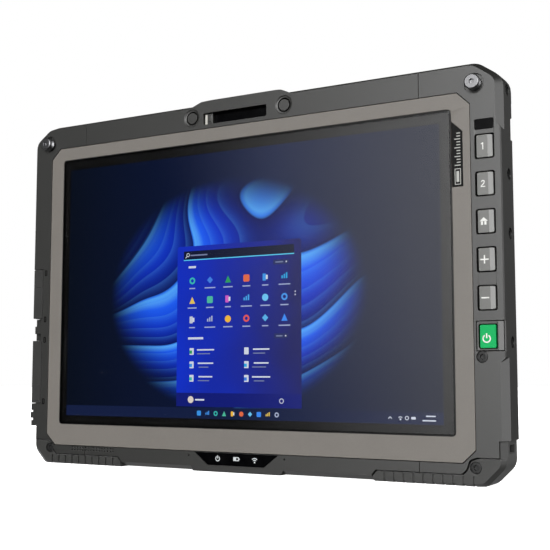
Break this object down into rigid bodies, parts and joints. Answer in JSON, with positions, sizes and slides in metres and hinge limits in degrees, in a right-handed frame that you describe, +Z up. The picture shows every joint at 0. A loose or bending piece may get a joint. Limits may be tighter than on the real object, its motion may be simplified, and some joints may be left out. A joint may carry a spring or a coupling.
{
  "type": "rugged field tablet computer",
  "caption": "Rugged ten-inch field data collector: glass touchscreen in a bumpered housing ring, side keys, camera shutter, sealed port doors, stylus and lift-out battery.",
  "frame": {"origin": "bottom centre of the box round the whole instrument, standing upright on its two rubber bumpers", "axes": "+X to the user's right along the long edge, +Y from the screen towards the back, +Z up the screen"},
  "size_m": [0.2774, 0.0274, 0.1931],
  "materials": {
    "housing": "fine grained matte",
    "bezel": "matte taupe",
    "key_cap": "satin",
    "power_green": "satin",
    "bumper": "matte",
    "door_rubber": "matte",
    "membrane": "matte",
    "cover_glass": "polished",
    "screen": "lit display",
    "black_window": "polished",
    "black_plastic": "satin",
    "battery_case": "fine grained matte",
    "bright_steel": "satin",
    "black_screw": "satin black",
    "chassis": "cast",
    "circuit_board": "lacquered",
    "copper": "satin"
  },
  "bodies": {
    "tablet": {"left_side_frame": "housing", "right_side_frame": "housing", "top_bar": "housing", "bottom_bar": "housing", "rear_cover": "housing", "handle_plug_left": "housing", "handle_plug_right": "housing", "power_key_surround": "housing", "front_bezel": "bezel", "bumper_lower_left": "bumper", "bumper_lower_right": "bumper", "keypad_membrane": "membrane", "cover_glass": "cover_glass", "display_panel": "screen", "status_window": "black_window", "light_sensor_window": "black_window", "camera_window": "black_window", "rear_camera": "black_window", "label_inlay": "black_plastic", "camera_module": "black_plastic", "audio_jack": "black_plastic", "power_jack": "black_plastic", "dock_connector": "black_plastic", "speaker_module": "black_plastic", "storage_module": "black_plastic", "corner_stud_left": "bright_steel", "corner_stud_right": "bright_steel", "usb_a_port": "bright_steel", "usb_c_port": "bright_steel", "front_screw_side": "black_screw", "bumper_screw_left": "black_screw", "bumper_screw_right": "black_screw", "side_screw_1": "black_screw", "side_screw_2": "black_screw", "side_screw_3": "black_screw", "side_screw_4": "black_screw", "rear_screw_1": "black_screw", "rear_screw_2": "black_screw", "rear_screw_3": "black_screw", "rear_screw_4": "black_screw", "mid_frame": "chassis", "main_board": "circuit_board", "heat_spreader": "copper", "radio_antenna": "copper"},
    "key_p1_body": {"key_p1": "key_cap"},
    "key_p2_body": {"key_p2": "key_cap"},
    "key_home_body": {"key_home": "key_cap"},
    "key_plus_body": {"key_plus": "key_cap"},
    "key_minus_body": {"key_minus": "key_cap"},
    "key_power_body": {"key_power": "power_green"},
    "camera_shutter_body": {"camera_shutter": "housing"},
    "port_door_upper_body": {"port_door_upper": "door_rubber"},
    "port_door_lower_body": {"port_door_lower": "door_rubber"},
    "release_cap_body": {"release_cap": "door_rubber"},
    "battery_pack_body": {"battery_pack": "battery_case"},
    "battery_latch_left_body": {"battery_latch_left": "black_plastic"},
    "battery_latch_right_body": {"battery_latch_right": "black_plastic"},
    "stylus_body": {"stylus": "black_plastic"}
  },
  "joints": [
    {"name": "key_p1_press", "type": "slide", "parent": "tablet", "child": "key_p1_body", "axis": [0, 1, 0], "range_m": [0, 0.0006], "stiffness_N_per_m": 2500},
    {"name": "key_p2_press", "type": "slide", "parent": "tablet", "child": "key_p2_body", "axis": [0, 1, 0], "range_m": [0, 0.0006], "stiffness_N_per_m": 2500},
    {"name": "key_home_press", "type": "slide", "parent": "tablet", "child": "key_home_body", "axis": [0, 1, 0], "range_m": [0, 0.0006], "stiffness_N_per_m": 2500},
    {"name": "key_plus_press", "type": "slide", "parent": "tablet", "child": "key_plus_body", "axis": [0, 1, 0], "range_m": [0, 0.0006], "stiffness_N_per_m": 2500},
    {"name": "key_minus_press", "type": "slide", "parent": "tablet", "child": "key_minus_body", "axis": [0, 1, 0], "range_m": [0, 0.0006], "stiffness_N_per_m": 2500},
    {"name": "key_power_press", "type": "slide", "parent": "tablet", "child": "key_power_body", "axis": [0, 1, 0], "range_m": [0, 0.0006], "stiffness_N_per_m": 2500},
    {"name": "camera_shutter_slide", "type": "slide", "parent": "tablet", "child": "camera_shutter_body", "axis": [1, 0, 0], "range_m": [0, 0.0096]},
    {"name": "port_door_upper_hinge", "type": "hinge", "parent": "tablet", "child": "port_door_upper_body", "pos_m": [-0.1387, 0.00385, 0.0946], "axis": [0, 0, -1], "range_deg": [0, 100]},
    {"name": "port_door_lower_hinge", "type": "hinge", "parent": "tablet", "child": "port_door_lower_body", "pos_m": [-0.1387, 0.00385, 0.05045], "axis": [0, 0, -1], "range_deg": [0, 100]},
    {"name": "release_cap_turn", "type": "hinge", "parent": "tablet", "child": "release_cap_body", "pos_m": [-0.137, -0.00535, 0.0261], "axis": [1, 0, 0], "range_deg": [0, 90]},
    {"name": "battery_pack_lift", "type": "slide", "parent": "tablet", "child": "battery_pack_body", "axis": [0, 1, 0], "range_m": [0, 0.02]},
    {"name": "battery_latch_left_slide", "type": "slide", "parent": "tablet", "child": "battery_latch_left_body", "axis": [-1, 0, 0], "range_m": [0, 0.0045], "stiffness_N_per_m": 300},
    {"name": "battery_latch_right_slide", "type": "slide", "parent": "tablet", "child": "battery_latch_right_body", "axis": [-1, 0, 0], "range_m": [0, 0.0045], "stiffness_N_per_m": 300},
    {"name": "stylus_pull", "type": "slide", "parent": "tablet", "child": "stylus_body", "axis": [0, 1, 0], "range_m": [0, 0.016]}
  ]
}
